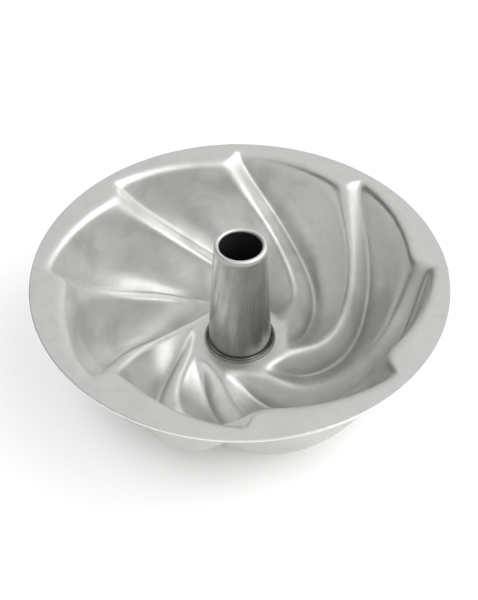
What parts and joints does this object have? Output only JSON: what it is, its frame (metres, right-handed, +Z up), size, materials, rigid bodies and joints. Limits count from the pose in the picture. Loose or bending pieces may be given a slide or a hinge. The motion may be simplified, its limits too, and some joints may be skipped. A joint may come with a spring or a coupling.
{
  "type": "bundt pan",
  "caption": "Round ring-cake pan of cast aluminium with swirling flutes, a flat rim with a saw-tooth inner outline and a tapered open centre tube.",
  "frame": {"origin": "on the tube's axis, at the level of the lowest lobes that the pan stands on", "axes": "+Z up along the tube's axis; +X passes about 1.4 degrees clockwise, seen from above, of one outer corner of the rim's saw-tooth outline"},
  "size_m": [0.26, 0.26, 0.1063],
  "materials": {
    "cast_body": "satin, blasted",
    "brushed_tube": "brushed"
  },
  "bodies": {
    "root": {"pan_body": "cast_body", "centre_tube": "brushed_tube"}
  },
  "joints": []
}
